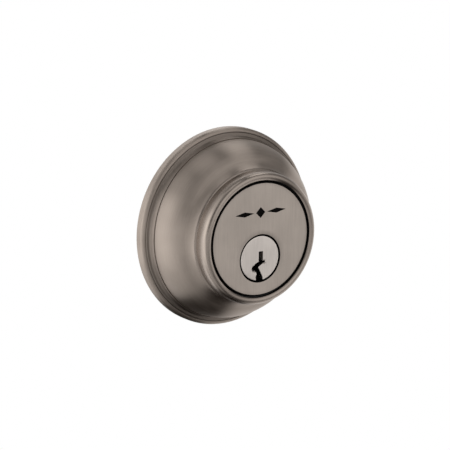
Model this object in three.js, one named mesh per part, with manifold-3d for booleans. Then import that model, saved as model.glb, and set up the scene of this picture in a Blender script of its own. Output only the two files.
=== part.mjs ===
// Keyed exterior half of a deadbolt door lock: trim collar, five-pin cylinder, tailpiece and fixings.
// Millimetres, +Z up. The door's outside face is the plane y = 0, the outside of the door is -Y, and the
// origin is the centre of the trim's flange on that face. "Depth" below is the distance in front of the
// door, so y = -depth.

import * as THREE from 'three';
import { mergeVertices } from 'three/addons/utils/BufferGeometryUtils.js';
import Module from 'manifold-3d';

const wasm = await Module();
wasm.setup();

// ---------------------------------------------------------------- driving dimensions

const ROUND = 48;                 // facets of a large turned part
const HIDDEN_ROUND = 36;          // facets of a large part that the trim covers
const SMALL_ROUND = 16;           // facets of a pin, a hole or a screw
const CLEAR = 0.3;                // gap left between pieces that rest on each other
const PAST = 1;                   // how far a cutting tool runs past the face it opens

const FLANGE_R = 31.75;           // flange radius: a 2-1/2 in trim, which covers a 54 mm cross bore
const RIM_DEPTH = 3.4;            // height of the flange's rim in front of the door
const RIM_EDGE_R = 1.2;
const GROOVE = { r: 30.4, depth: 3.2 };      // fine groove between the rim and the step
const STEP = { outer: 30.2, inner: 29.5, depth: 3.6, ease: 0.25 };
const COVE = {                    // hollow sweep from the step to the foot of the dome
  handle: { r: 28.9, depth: 3.7 },
  end: { r: 28.85, depth: 5.6 },
};
const DOME = {                    // from the cove up to the neck, with the two handles of its curve
  start: { r: 28.6, depth: 5.5 },
  lower: { r: 28.5, depth: 8.8 },
  upper: { r: 27.2, depth: 12.6 },
  end: { r: 24.0, depth: 14.6 },
};
const NECK = {                    // the dome's flare into the nose ring, with its curve's handle
  handle: { r: 22.2, depth: 15.7 },
  end: { r: 21.5, depth: 17.15 },
};
const NOSE = {                    // the nose ring's bulging side, from foot to crown, with two handles
  foot: { r: 20.95, depth: 17.45 },
  side: { r: 21.4, depth: 21.2 },
  edge: { r: 21.05, depth: 22.5 },
  crown: { r: 19.6, depth: 22.55 },
  lip: 18.7,                      // opening that the cylinder's face shows through
  lipDepth: 22.15,
  lipEase: 0.35,
  lipBack: 21.4,
  wall: 19.5,                     // inside radius behind the lip
};
const SHELL = { bend: { r: 25.7, depth: 9.5 }, inner: 26.9, straight: 4 };   // inside of the dome

const FACE_DEPTH = 22.0;          // the cylinder's face
const FACE_EASE = 0.4;            // its rounded edge
const FACE_DISH = { r: 9.3, depth: 0.08 };   // shallow hollow in the face round the plug
const HEAD_R = 18.15;
const HEAD_SEAT = 14.5;           // depth of the cylinder's shoulder flange, front side
const SHOULDER_R = 20.3;
const SHOULDER_BACK = 11.8;
const BARREL_R = 14.0;
const BARREL_BACK = -5.5;

const PLUG_Z = -6.2;              // the plug's axis, below the centre of the face
const PLUG_FACE = 21.8;           // the plug stands a little behind the face
const PLUG_HEAD_R = 7.15;
const PLUG_HEAD_BORE_R = 7.63;
const PLUG_HEAD_BACK = 20.1;
const PLUG_R = 6.35;              // half-inch plug
const PLUG_BORE_R = 6.5;
const PLUG_BACK = -5.7;
const PLUG_NECK_R = 5.3;
const PLUG_NECK_BACK = -9.2;
const KEY_RELIEFS = [             // shallow cones in the face beside the keyway, where the cutter ran in
  { x: -1.9, z: -3.1, r: 1.2, depth: 0.4 },
  { x: 1.75, z: -1.3, r: 0.7, depth: 0.3 },
];

const PINS = 5;
const PIN_PITCH = 3.96;           // 0.156 in from pin to pin
const FIRST_PIN = 6.3;            // from the face to the first pin
const PIN_R = 1.45;
const CHAMBER_R = 1.62;
const KEY_PIN_LENGTHS = [5.33, 6.1, 4.95, 6.48, 5.71];
const KEY_PIN_HOLE = 7.9;         // depth of the pin holes below the plug's top
const DRIVER_LENGTH = 5.0;
const SPRING_WIRE_R = 0.17;
const SPRING_COIL_R = 1.2;
const SPRING_TURNS = 5;
const COVER = { width: 3.8, bottom: 11.5, thickness: 0.9, front: 17.2, back: -2.1 };

const DRILL_PIN = { r: 0.95, x: 2.4, depth: 18.75, bottom: 1.2, length: 9 };
const PLUG_DRILL_PIN = { r: 0.75, x: 3.4, depth: 18.5, bottom: -8.4, length: 7.2 };

const CAP = { r: 7.4, front: -6.0, back: -11.6, bore: 5.5, lip: -10.7, hole: 3.9 };
const CAP_PIN = { r: 0.65, hole: 0.85, offset: 4.35, front: -6.1, back: -11.2, pocket: -2.0 };
const CAP_SPRING = { coil: 0.48, wire: 0.11 };
const TAIL = { width: 6.0, thickness: 2.0, headWidth: 9.6, headHeight: 4.4, front: -9.4, neck: -10.4 };
const TAIL_BACK = -36;
const TAIL_NOTCH = { depths: [-24, -28, -32], half: 0.5 };

const GUARD = { inner: 18.45, outer: 19.25, front: 21.1, back: 15.1 };
const PLATE = { r: 24.4, front: 11.5, back: 9.7, hole: 14.35 };
const SCREW = { at: 22.5, shank: 1.2, hole: 1.4, head: 2.6, headHeight: 1.7, tip: 13.9 };
const SCREW_ANGLES = [90, 210, 330];
const RECESS = { half: 0.35, reach: 1.3, depth: 1.0 };   // cross recess in a screw's head
const POST = { x: 18.25, r: 3.4, spigot: 2.2, hole: 2.5, front: 9.4, back: -8.5, tap: 2.1, tapDepth: 12 };
const SLEEVE = { inner: 23.9, outer: 26.4, nose: 25.8, front: 7.2, step: 3.6, back: -6 };
const GASKET = { inner: 28.1, outer: 30.3, front: 1.4, back: 0.1, groove: 0.2 };

const MARK = { z: 8.5, depth: 0.25, diamond: 1.75, wing: { x: 6.0, half: 3.6, rise: 0.8 } };

// ---------------------------------------------------------------- geometry helpers

// A closed geometry as a Manifold solid, with shared vertices merged and its faces pointing out.
function solid(geometry) {
  const bare = geometry.index ? geometry.toNonIndexed() : geometry.clone();
  for (const name of Object.keys(bare.attributes)) {
    if (name !== 'position') bare.deleteAttribute(name);
  }
  const merged = mergeVertices(bare, 1e-4);
  const position = merged.attributes.position.array;
  const index = merged.index.array;
  const corner = (i) => new THREE.Vector3().fromArray(position, 3 * i);
  const triangles = [];
  let volume = 0;
  for (let t = 0; t < index.length; t += 3) {
    const [a, b, c] = [index[t], index[t + 1], index[t + 2]];
    if (a === b || b === c || c === a) continue;
    triangles.push([a, b, c]);
    volume += corner(a).dot(corner(b).cross(corner(c)));
  }
  const triVerts = triangles.flatMap(([a, b, c]) => (volume > 0 ? [a, b, c] : [a, c, b]));
  return new wasm.Manifold(new wasm.Mesh({
    numProp: 3,
    vertProperties: new Float32Array(position),
    triVerts: new Uint32Array(triVerts),
  }));
}

// A solid of revolution about the Y direction through (x, z). The profile is a list of [radius, depth].
function turned(profile, x = 0, z = 0, facets = ROUND) {
  const points = profile.map(([r, depth]) => new THREE.Vector2(r, -depth));
  return solid(new THREE.LatheGeometry(points, facets).translate(x, 0, z));
}

// A plain round bar or cutting tool along Y.
function bar(radius, depthFrom, depthTo, x = 0, z = 0, facets = SMALL_ROUND) {
  return turned([[0, depthFrom], [radius, depthFrom], [radius, depthTo], [0, depthTo]], x, z, facets);
}

// A solid of revolution about the vertical through (x, y). The profile is a list of [radius, height].
function upright(profile, x, y) {
  const points = profile.map(([r, height]) => new THREE.Vector2(r, height));
  return solid(new THREE.LatheGeometry(points, SMALL_ROUND).rotateX(Math.PI / 2).translate(x, y, 0));
}

function block(x0, x1, y0, y1, z0, z1) {
  const box = new THREE.BoxGeometry(x1 - x0, y1 - y0, z1 - z0);
  return solid(box.translate((x0 + x1) / 2, (y0 + y1) / 2, (z0 + z1) / 2));
}

// A flat outline, drawn as seen from outside the door, carried from one depth to another.
function extruded(outline, depthFrom, depthTo) {
  const shape = new THREE.Shape(outline.map(([x, z]) => new THREE.Vector2(x, z)));
  const geometry = new THREE.ExtrudeGeometry(shape, { depth: depthTo - depthFrom, bevelEnabled: false });
  return solid(geometry.rotateX(Math.PI / 2).translate(0, -depthFrom, 0));
}

// A coil spring about +Z that starts at the origin.
function coilSpring(coilRadius, wireRadius, turns, length) {
  const stepsPerTurn = 8;
  const rise = length - 2 * wireRadius;
  class Helix extends THREE.Curve {
    getPoint(t, target = new THREE.Vector3()) {
      const angle = 2 * Math.PI * turns * t;
      const height = wireRadius + rise * t;
      return target.set(coilRadius * Math.cos(angle), coilRadius * Math.sin(angle), height);
    }
  }
  const sides = 5;
  const corners = Array.from({ length: sides }, (_, i) => polar(wireRadius, (i * 360) / sides));
  const wire = new THREE.Shape(corners.map(([x, y]) => new THREE.Vector2(x, y)));
  return new THREE.ExtrudeGeometry(wire, {
    steps: turns * stepsPerTurn,
    extrudePath: new Helix(),
  });
}

function polar(radius, degrees) {
  const angle = THREE.MathUtils.degToRad(degrees);
  return [radius * Math.cos(angle), radius * Math.sin(angle)];
}

// ---------------------------------------------------------------- finishes

const FINISHES = {
  trim: { color: 0x8d8379, metalness: 1, roughness: 0.35 },
  face: { color: 0x9a9189, metalness: 1, roughness: 0.4 },
  plug: { color: 0xbdb6ae, metalness: 1, roughness: 0.3 },
  brass: { color: 0xb5924c, metalness: 1, roughness: 0.35 },
  steel: { color: 0xa9aaa8, metalness: 1, roughness: 0.4 },
  hardened: { color: 0x4c4c4e, metalness: 1, roughness: 0.45 },
  nylon: { color: 0x1c1d1f, metalness: 0, roughness: 0.6 },
  rubber: { color: 0x141414, metalness: 0, roughness: 0.9 },
};

const deadbolt = new THREE.Group();
deadbolt.name = 'deadbolt_exterior';

// Adds one named piece. It takes either a Manifold solid or a three.js geometry.
function add(name, finish, shape) {
  const geometry = new THREE.BufferGeometry();
  const mesh = (shape.isBufferGeometry ? solid(shape) : shape).getMesh();
  geometry.setAttribute('position', new THREE.BufferAttribute(mesh.vertProperties, mesh.numProp));
  geometry.setIndex(new THREE.BufferAttribute(mesh.triVerts, 1));
  geometry.computeVertexNormals();
  const piece = new THREE.Mesh(geometry, new THREE.MeshStandardMaterial(FINISHES[finish]));
  piece.name = name;
  deadbolt.add(piece);
}

// ---------------------------------------------------------------- trim collar

// An arc of a circle in the plane of the profile, angles in degrees.
function arc(r, depth, radius, from, to) {
  const [start, end] = [from, to].map(THREE.MathUtils.degToRad);
  return new THREE.EllipseCurve(r, depth, radius, radius, start, end);
}

// The visible profile from the door out to the nose, as [radius, depth] points: rim, groove, step, cove,
// dome, neck and nose ring. Each curve comes with the number of steps it is cut into.
function trimOutline() {
  const at = ({ r, depth }) => new THREE.Vector2(r, depth);
  const bezier = (...points) => {
    const Curve = points.length === 4 ? THREE.CubicBezierCurve : THREE.QuadraticBezierCurve;
    return new Curve(...points);
  };
  const stepEdge = at({ r: STEP.outer - STEP.ease, depth: STEP.depth });
  const stepEnd = at({ r: STEP.inner, depth: STEP.depth });
  const domeEnd = at(DOME.end);
  const curves = [
    [arc(FLANGE_R - RIM_EDGE_R, RIM_DEPTH - RIM_EDGE_R, RIM_EDGE_R, 0, 90), 4],
    [new THREE.LineCurve(at(GROOVE), stepEdge), 1],
    [bezier(stepEnd, at(COVE.handle), at(COVE.end)), 5],
    [bezier(at(DOME.start), at(DOME.lower), at(DOME.upper), domeEnd), 8],
    [bezier(domeEnd, at(NECK.handle), at(NECK.end)), 4],
    [bezier(at(NOSE.foot), at(NOSE.side), at(NOSE.edge), at(NOSE.crown)), 6],
  ];
  const points = curves.flatMap(([curve, steps]) => curve.getPoints(steps));
  points.unshift(at({ r: FLANGE_R, depth: CLEAR }));
  points.push(at({ r: NOSE.lip + NOSE.lipEase, depth: NOSE.lipDepth + NOSE.lipEase }));
  points.push(at({ r: NOSE.lip, depth: NOSE.lipDepth }));
  const repeated = (point, i) => i > 0 && point.distanceTo(points[i - 1]) < 1e-6;
  return points.filter((point, i) => !repeated(point, i)).map((point) => [point.x, point.y]);
}

// The outline goes on round the inside: the lip, the seat for the cylinder's shoulder, the recess for
// the retaining plate, the hollow of the dome and the gasket's groove.
function trimCollar() {
  const grooveInner = GASKET.inner - GASKET.groove;
  const grooveOuter = GASKET.outer + GASKET.groove;
  const inside = [
    [NOSE.lip, NOSE.lipBack],
    [NOSE.wall, NOSE.lipBack],
    [NOSE.wall, HEAD_SEAT + CLEAR],
    [SHOULDER_R + CLEAR, HEAD_SEAT + CLEAR],
    [SHOULDER_R + CLEAR, PLATE.front + CLEAR],
    [PLATE.r + 0.4, PLATE.front + CLEAR],
    [SHELL.bend.r, SHELL.bend.depth],
    [SHELL.inner, SHELL.straight],
    [SHELL.inner, 0],
    [grooveInner, 0],
    [grooveInner, GASKET.front + 0.1],
    [grooveOuter, GASKET.front + 0.1],
    [grooveOuter, 0],
    [FLANGE_R - CLEAR, 0],
  ];
  const profile = [...trimOutline(), ...inside];
  let collar = turned([...profile, profile[0]]);
  for (const angle of SCREW_ANGLES) {
    const [x, z] = polar(SCREW.at, angle);
    collar = collar.subtract(bar(SCREW.hole, PLATE.front - PAST, SCREW.tip + CLEAR, x, z));
  }
  return collar;
}

add('trim_collar', 'trim', trimCollar());

function ring(inner, outer, front, back, facets = ROUND) {
  const profile = [[inner, front], [outer, front], [outer, back], [inner, back], [inner, front]];
  return turned(profile, 0, 0, facets);
}

add('guard_ring', 'hardened', ring(GUARD.inner, GUARD.outer, GUARD.front, GUARD.back, HIDDEN_ROUND));
add('gasket', 'rubber', ring(GASKET.inner, GASKET.outer, GASKET.front, GASKET.back));

// ---------------------------------------------------------------- lock cylinder

const pinY = Array.from({ length: PINS }, (_, i) => -FACE_DEPTH + FIRST_PIN + i * PIN_PITCH);
const shearZ = PLUG_Z + PLUG_R;

// The engraved mark on the face: a diamond between two long slim ones.
function faceMark() {
  const lozenge = (x, half, rise) => extruded(
    [[x - half, MARK.z], [x, MARK.z - rise], [x + half, MARK.z], [x, MARK.z + rise]],
    FACE_DEPTH - MARK.depth,
    FACE_DEPTH + PAST,
  );
  const { x, half, rise } = MARK.wing;
  return [lozenge(-x, half, rise), lozenge(0, MARK.diamond, MARK.diamond), lozenge(x, half, rise)];
}

// The blind hole that a drill pin drops into from above, open at the height `top`.
function rodHole(size, x, top) {
  const r = size.r + 0.1;
  const low = size.bottom - 0.1;
  return upright([[0, low], [r, low], [r, top], [0, top]], x, -size.depth);
}

function cylinderBody() {
  let body = turned([
    [0, FACE_DEPTH],
    [HEAD_R - FACE_EASE, FACE_DEPTH],
    [HEAD_R - FACE_EASE / 4, FACE_DEPTH - FACE_EASE / 4],
    [HEAD_R, FACE_DEPTH - FACE_EASE],
    [HEAD_R, HEAD_SEAT],
    [SHOULDER_R, HEAD_SEAT],
    [SHOULDER_R, SHOULDER_BACK],
    [BARREL_R, SHOULDER_BACK],
    [BARREL_R, BARREL_BACK + 0.6],
    [BARREL_R - 0.6, BARREL_BACK],
    [0, BARREL_BACK],
  ]);
  body = body.subtract(bar(PLUG_BORE_R, FACE_DEPTH + PAST, BARREL_BACK - PAST, 0, PLUG_Z, ROUND));
  const mouth = [
    [0, FACE_DEPTH + PAST],
    [FACE_DISH.r, FACE_DEPTH + PAST],
    [FACE_DISH.r, FACE_DEPTH],
    [PLUG_HEAD_BORE_R, FACE_DEPTH - FACE_DISH.depth],
    [PLUG_HEAD_BORE_R, PLUG_HEAD_BACK - 0.15],
    [0, PLUG_HEAD_BACK - 0.15],
  ];
  body = body.subtract(turned(mouth, 0, PLUG_Z));
  for (const y of pinY) {
    const top = COVER.bottom + PAST;
    const chamber = [[0, PLUG_Z], [CHAMBER_R, PLUG_Z], [CHAMBER_R, top], [0, top]];
    body = body.subtract(upright(chamber, 0, y));
  }
  const slotHalf = COVER.width / 2 + 0.1;
  const slotFloor = COVER.bottom - 0.1;
  const slotFront = -COVER.front - 0.1;
  const slotBack = -COVER.back + 0.1;
  body = body.subtract(block(-slotHalf, slotHalf, slotFront, slotBack, slotFloor, SHOULDER_R + PAST));
  for (const side of [-1, 1]) {
    body = body.subtract(rodHole(DRILL_PIN, side * DRILL_PIN.x, HEAD_R + PAST));
  }
  return faceMark().reduce((cut, shape) => cut.subtract(shape), body);
}

add('cylinder_body', 'face', cylinderBody());

function springCover() {
  const half = COVER.width / 2;
  const top = COVER.bottom + COVER.thickness;
  return block(-half, half, -COVER.front, -COVER.back, COVER.bottom, top);
}

add('spring_cover', 'brass', springCover());

// A hardened rod with rounded ends, standing upright beside the pins.
function drillRod(size, x) {
  const top = size.bottom + size.length;
  const edge = size.r * 0.4;
  return upright([
    [0, size.bottom],
    [size.r - edge, size.bottom],
    [size.r, size.bottom + edge],
    [size.r, top - edge],
    [size.r - edge, top],
    [0, top],
  ], x, -size.depth);
}

add('drill_pin_left', 'hardened', drillRod(DRILL_PIN, -DRILL_PIN.x));
add('drill_pin_right', 'hardened', drillRod(DRILL_PIN, DRILL_PIN.x));

// ---------------------------------------------------------------- plug

// The keyway as seen from outside, about the plug's axis. It runs out through the plug's lower edge.
function keyway() {
  const open = -PLUG_HEAD_R - PAST;
  const upperRight = [[1.2, 2.2], [1.2, -1.0], [1.9, -1.4], [0.5, -2.1]];
  const lowerRight = [[-0.6, -2.75], [0.3, -4.4], [1.15, -6.2], [1.2, open]];
  const lowerLeft = [[-1.25, open], [-1.6, -5.8], [-1.15, -4.9], [-2.2, -3.0]];
  const upperLeft = [[-1.9, -1.6], [-0.45, -1.0], [-0.45, 2.2]];
  const outline = [...upperRight, ...lowerRight, ...lowerLeft, ...upperLeft];
  const placed = outline.map(([x, z]) => [x, z + PLUG_Z]);
  return extruded(placed, PLUG_NECK_BACK - PAST, FACE_DEPTH + PAST);
}

function keyRelief({ x, z, r, depth }) {
  const floor = PLUG_FACE - depth;
  return turned([
    [0, floor],
    [r - depth, floor],
    [r + PAST, PLUG_FACE + PAST],
    [0, PLUG_FACE + PAST],
  ], x, z + PLUG_Z, SMALL_ROUND);
}

function plug() {
  let body = turned([
    [0, PLUG_FACE],
    [PLUG_HEAD_R - 0.25, PLUG_FACE],
    [PLUG_HEAD_R, PLUG_FACE - 0.25],
    [PLUG_HEAD_R, PLUG_HEAD_BACK],
    [PLUG_R, PLUG_HEAD_BACK],
    [PLUG_R, PLUG_BACK],
    [PLUG_NECK_R, PLUG_BACK],
    [PLUG_NECK_R, PLUG_NECK_BACK],
    [0, PLUG_NECK_BACK],
  ], 0, PLUG_Z);
  body = body.subtract(keyway());
  for (const relief of KEY_RELIEFS) body = body.subtract(keyRelief(relief));
  for (const y of pinY) {
    const low = shearZ - KEY_PIN_HOLE;
    const high = shearZ + PAST;
    const hole = [[0, low - 0.6], [CHAMBER_R, low], [CHAMBER_R, high], [0, high]];
    body = body.subtract(upright(hole, 0, y));
  }
  for (const side of [-1, 1]) {
    body = body.subtract(rodHole(PLUG_DRILL_PIN, side * PLUG_DRILL_PIN.x, shearZ + PAST));
  }
  return body.subtract(bar(CAP_PIN.hole, CAP_PIN.pocket, CAP.back, 0, PLUG_Z + CAP_PIN.offset));
}

add('plug', 'plug', plug());
add('plug_drill_pin_left', 'hardened', drillRod(PLUG_DRILL_PIN, -PLUG_DRILL_PIN.x));
add('plug_drill_pin_right', 'hardened', drillRod(PLUG_DRILL_PIN, PLUG_DRILL_PIN.x));

// ---------------------------------------------------------------- pins and springs

const PIN_GAP = 0.04;             // clearance between key pin, driver pin and the shear line

function keyPin(length, y) {
  const top = shearZ - PIN_GAP;
  const low = top - length;
  return upright([
    [0, low],
    [0.35, low],
    [PIN_R, low + 1.3],
    [PIN_R, top - 0.25],
    [PIN_R - 0.5, top],
    [0, top],
  ], 0, y);
}

function driverPin(y) {
  const low = shearZ + PLUG_BORE_R - PLUG_R;
  const top = low + DRIVER_LENGTH;
  return upright([
    [0, low],
    [PIN_R - 0.3, low],
    [PIN_R, low + 0.2],
    [PIN_R, top - 0.2],
    [PIN_R - 0.2, top],
    [0, top],
  ], 0, y);
}

pinY.forEach((y, i) => {
  const springFoot = shearZ + PLUG_BORE_R - PLUG_R + DRIVER_LENGTH + 0.05;
  const springLength = COVER.bottom - 0.05 - springFoot;
  const spring = coilSpring(SPRING_COIL_R, SPRING_WIRE_R, SPRING_TURNS, springLength);
  add(`key_pin_${i + 1}`, 'brass', keyPin(KEY_PIN_LENGTHS[i], y));
  add(`driver_pin_${i + 1}`, 'brass', driverPin(y));
  add(`pin_spring_${i + 1}`, 'steel', spring.translate(0, y, springFoot));
});

// ---------------------------------------------------------------- plug cap, cap pin and tailpiece

function plugCap() {
  let cap = turned([
    [CAP.bore, CAP.front],
    [CAP.r - 0.3, CAP.front],
    [CAP.r, CAP.front - 0.3],
    [CAP.r, CAP.back + 0.5],
    [CAP.r - 0.5, CAP.back],
    [CAP.hole, CAP.back],
    [CAP.hole, CAP.lip],
    [CAP.bore, CAP.lip],
    [CAP.bore, CAP.front],
  ], 0, PLUG_Z, HIDDEN_ROUND);
  const notches = 4;
  for (let i = 0; i < notches; i += 1) {
    const [x, z] = polar(CAP_PIN.offset, 90 + (i * 360) / notches);
    cap = cap.subtract(bar(CAP_PIN.hole, CAP.lip + 0.1, CAP.back - PAST, x, PLUG_Z + z));
  }
  return cap;
}

const capPinZ = PLUG_Z + CAP_PIN.offset;
const capSpringLength = CAP_PIN.pocket - CAP_PIN.front - 0.2;
const capSpring = coilSpring(CAP_SPRING.coil, CAP_SPRING.wire, SPRING_TURNS, capSpringLength);

add('plug_cap', 'brass', plugCap());
add('cap_pin', 'steel', bar(CAP_PIN.r, CAP_PIN.front, CAP_PIN.back, 0, capPinZ));
add('cap_spring', 'steel', capSpring.rotateX(-Math.PI / 2).translate(0, -CAP_PIN.pocket + 0.1, capPinZ));

function tailpiece() {
  const { width, thickness, headWidth, headHeight } = TAIL;
  const low = PLUG_Z - thickness / 2;
  const high = PLUG_Z + thickness / 2;
  const tip = -TAIL_BACK;
  let blade = block(-width / 2, width / 2, -TAIL.neck - 0.5, tip, low, high);
  const [headLow, headHigh] = [PLUG_Z - headHeight / 2, PLUG_Z + headHeight / 2];
  blade = blade.add(block(-headWidth / 2, headWidth / 2, -TAIL.front, -TAIL.neck, headLow, headHigh));
  const { depths, half } = TAIL_NOTCH;
  for (const notch of depths) {
    for (const side of [-1, 1]) {
      const edge = side * (width / 2 + 0.01);
      const corners = [[edge, -notch - half], [edge - side * half, -notch], [edge, -notch + half]];
      const shape = new THREE.Shape(corners.map(([x, y]) => new THREE.Vector2(x, y)));
      const cut = new THREE.ExtrudeGeometry(shape, { depth: thickness + 2 * PAST, bevelEnabled: false });
      blade = blade.subtract(solid(cut.translate(0, 0, low - PAST)));
    }
  }
  return blade;
}

add('tailpiece', 'steel', tailpiece());

// ---------------------------------------------------------------- fixings behind the trim

function retainingPlate() {
  let plate = ring(PLATE.hole, PLATE.r, PLATE.front, PLATE.back, HIDDEN_ROUND);
  for (const side of [-1, 1]) {
    plate = plate.subtract(bar(POST.hole, PLATE.front + PAST, PLATE.back - PAST, side * POST.x, 0));
  }
  for (const angle of SCREW_ANGLES) {
    const [x, z] = polar(SCREW.at, angle);
    plate = plate.subtract(bar(SCREW.hole, PLATE.front + PAST, PLATE.back - PAST, x, z));
  }
  return plate;
}

add('retaining_plate', 'steel', retainingPlate());

// A pan-head screw with a cross recess, driven forwards into the collar.
function plateScrew(x, z) {
  const seat = PLATE.back - 0.1;
  const top = seat - SCREW.headHeight;
  let screw = turned([
    [0, top],
    [SCREW.head * 0.6, top],
    [SCREW.head, top + 0.8],
    [SCREW.head, seat],
    [SCREW.shank, seat],
    [SCREW.shank, SCREW.tip - 0.6],
    [SCREW.shank * 0.5, SCREW.tip],
    [0, SCREW.tip],
  ], x, z, SMALL_ROUND);
  const { half, reach, depth } = RECESS;
  for (const [w, h] of [[half, reach], [reach, half]]) {
    screw = screw.subtract(block(x - w, x + w, -top - depth, -top + PAST, z - h, z + h));
  }
  return screw;
}

SCREW_ANGLES.forEach((angle, i) => {
  const [x, z] = polar(SCREW.at, angle);
  add(`plate_screw_${i + 1}`, 'steel', plateScrew(x, z));
});

// A post with a spigot through the plate and a tapped bore open to the inside of the door.
function screwPost(x) {
  const tapEnd = POST.back + POST.tapDepth;
  return turned([
    [0, PLATE.front - 0.1],
    [POST.spigot, PLATE.front - 0.1],
    [POST.spigot, POST.front],
    [POST.r, POST.front],
    [POST.r, POST.back + 0.4],
    [POST.r - 0.4, POST.back],
    [POST.tap, POST.back],
    [POST.tap, tapEnd],
    [0, tapEnd + 1.2],
  ], x, 0, SMALL_ROUND);
}

add('screw_post_left', 'steel', screwPost(-POST.x));
add('screw_post_right', 'steel', screwPost(POST.x));

add('bore_sleeve', 'nylon', turned([
  [SLEEVE.inner, SLEEVE.front],
  [SLEEVE.nose, SLEEVE.front],
  [SLEEVE.nose, SLEEVE.step],
  [SLEEVE.outer, SLEEVE.step],
  [SLEEVE.outer, SLEEVE.back + 0.6],
  [SLEEVE.outer - 0.6, SLEEVE.back],
  [SLEEVE.inner, SLEEVE.back],
  [SLEEVE.inner, SLEEVE.front],
]));

export default deadbolt;
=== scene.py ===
"""Looks for the keyed exterior half of a deadbolt door lock.

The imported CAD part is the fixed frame, in metres. This script puts smooth, finely turned pieces
over the visible nodes, gives every piece its finish, and sets up the studio and the camera.
Profiles are in millimetres as (radius, depth) pairs, where depth is measured out from the door's
face, so y = -depth. Where an outline's corner is eased, the easing is its third number.
"""

import math

import bmesh
import bpy
from mathutils import Matrix, Vector


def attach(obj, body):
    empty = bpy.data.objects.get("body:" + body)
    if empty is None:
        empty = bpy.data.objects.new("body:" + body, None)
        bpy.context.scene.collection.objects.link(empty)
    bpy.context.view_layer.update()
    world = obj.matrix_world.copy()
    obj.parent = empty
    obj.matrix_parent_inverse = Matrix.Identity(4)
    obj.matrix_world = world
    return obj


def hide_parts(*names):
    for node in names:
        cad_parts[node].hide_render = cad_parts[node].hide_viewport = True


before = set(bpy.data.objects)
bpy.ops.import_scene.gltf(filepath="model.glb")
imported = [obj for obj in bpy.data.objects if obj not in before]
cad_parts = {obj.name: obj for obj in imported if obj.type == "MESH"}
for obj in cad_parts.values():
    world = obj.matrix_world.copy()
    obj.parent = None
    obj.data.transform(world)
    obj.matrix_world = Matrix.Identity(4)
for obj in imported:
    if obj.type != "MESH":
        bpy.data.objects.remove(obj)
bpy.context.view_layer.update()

# ------------------------------------------------------------------ driving dimensions, in mm

MM = 0.001
FINE = 240                      # facets round a large turned piece
MEDIUM = 96
SMALL = 40
CLEAR = 0.3                     # gap between pieces that rest on each other
PAST = 1.0                      # how far a cutting tool runs past the face that it opens
HAIR = 0.1                      # a hair's breadth: the smallest gaps, and the margin of paint tests
TINY = 0.01                     # tells a floor from the face that it is sunk in

FLANGE_R = 31.75
RIM_DEPTH = 3.4
RIM_EDGE_R = 1.2
GROOVE = (30.4, 3.2)
STEP = dict(outer=30.2, inner=29.5, depth=3.6, ease=0.25)
COVE = dict(handle=(28.9, 3.7), end=(28.85, 5.6))
DOME = dict(start=(28.6, 5.5), lower=(28.5, 8.8), upper=(27.2, 12.6), end=(24.0, 14.6))
NECK = dict(handle=(22.2, 15.7), end=(21.5, 17.15))
NOSE = dict(foot=(20.95, 17.45), side=(21.4, 21.2), edge=(21.05, 22.5), crown=(19.6, 22.55))
LIP_R = 18.7
LIP_DEPTH = 22.15
LIP_EASE = 0.35
LIP_BACK = 21.4
LIP_WALL = 19.5
SHELL = dict(bend=(25.7, 9.5), inner=26.9, straight=4)      # the hollow inside of the dome
# Straight pieces in each curve of an outline.
CURVE_STEPS = dict(rim=12, cove=16, dome=36, neck=12, nose=24, lip=8, dish=8, screw=8)

FACE_DEPTH = 22.0
FACE_EASE = 0.4
FACE_DISH = dict(r=9.3, depth=0.08, handle=8.4, chamfer=0.1)
HEAD_R = 18.15
HEAD_SEAT = 14.5
SHOULDER_R = 20.3
SHOULDER_BACK = 11.8
BARREL_R = 14.0
BARREL_BACK = -5.5

PLUG_Z = -6.2
PLUG_HEAD_R = 7.15
PLUG_HEAD_EASE = 0.25
PLUG_HEAD_BORE_R = 7.63
PLUG_HEAD_BACK = 20.1
PLUG_HEAD_ROOM = 0.15           # free depth behind the plug's head
PLUG_R = 6.35
PLUG_BORE_R = 6.5
PLUG_BORE_CHAMFER = 0.25
PLUG_FACE = 21.8
PLUG_BACK = -5.7
PLUG_NECK_R = 5.3
PLUG_NECK_BACK = -9.2
KEY_RELIEFS = [                 # shallow cones in the face beside the keyway: x, z, radius, depth
    (-1.9, -3.1, 1.2, 0.4),
    (1.75, -1.3, 0.7, 0.3),
]

PINS = 5
PIN_PITCH = 3.96
FIRST_PIN_DEPTH = 15.7
PIN_DEPTHS = [FIRST_PIN_DEPTH - PIN_PITCH * i for i in range(PINS)]
CHAMBER_R = 1.62
PIN_HOLE_LOW = -7.75
SHEAR_Z = 0.15
COVER_SLOT = dict(half=2.0, front=17.3, back=-2.2, floor=11.4)
BODY_DRILL = dict(r=1.05, x=2.4, depth=18.75, low=1.1)
PLUG_DRILL = dict(r=0.85, x=3.4, depth=18.5, low=-8.5)

CAP = dict(r=7.4, front=-6.0, back=-11.6, bore=5.5, lip=-10.7, hole=3.9)
CAP_PIN = dict(r=0.65, hole=0.85, offset=4.35, front=-6.1, back=-11.2, pocket=-2.0)
GUARD = dict(inner=18.45, outer=19.25, front=21.1, back=15.1)
PLATE = dict(inner=14.35, outer=24.4, front=11.5, back=9.7, room=0.4)
SCREW = dict(at=22.5, shank=1.2, hole=1.4, head=2.6, height=1.7, crown=1.1, tip=13.9, point=0.6)
SCREW_THREAD = dict(pitch=0.4, depth=0.2, turns=8)
SCREW_RECESS = dict(half=0.35, reach=1.3, depth=1.0)
SCREW_ANGLES = (90, 210, 330)
POST = dict(x=18.25, r=3.4, spigot=2.2, hole=2.5, front=9.4, back=-8.5)
POST_TAP = dict(r=2.1, length=12, pitch=0.8, thread=0.3, mouth=0.45, point=1.2)
SLEEVE = dict(inner=23.9, outer=26.4, nose=25.8, front=7.2, step=3.6, back=-6)
GASKET = dict(inner=28.1, outer=30.3, front=1.4, back=0.1, room=0.2)
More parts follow.
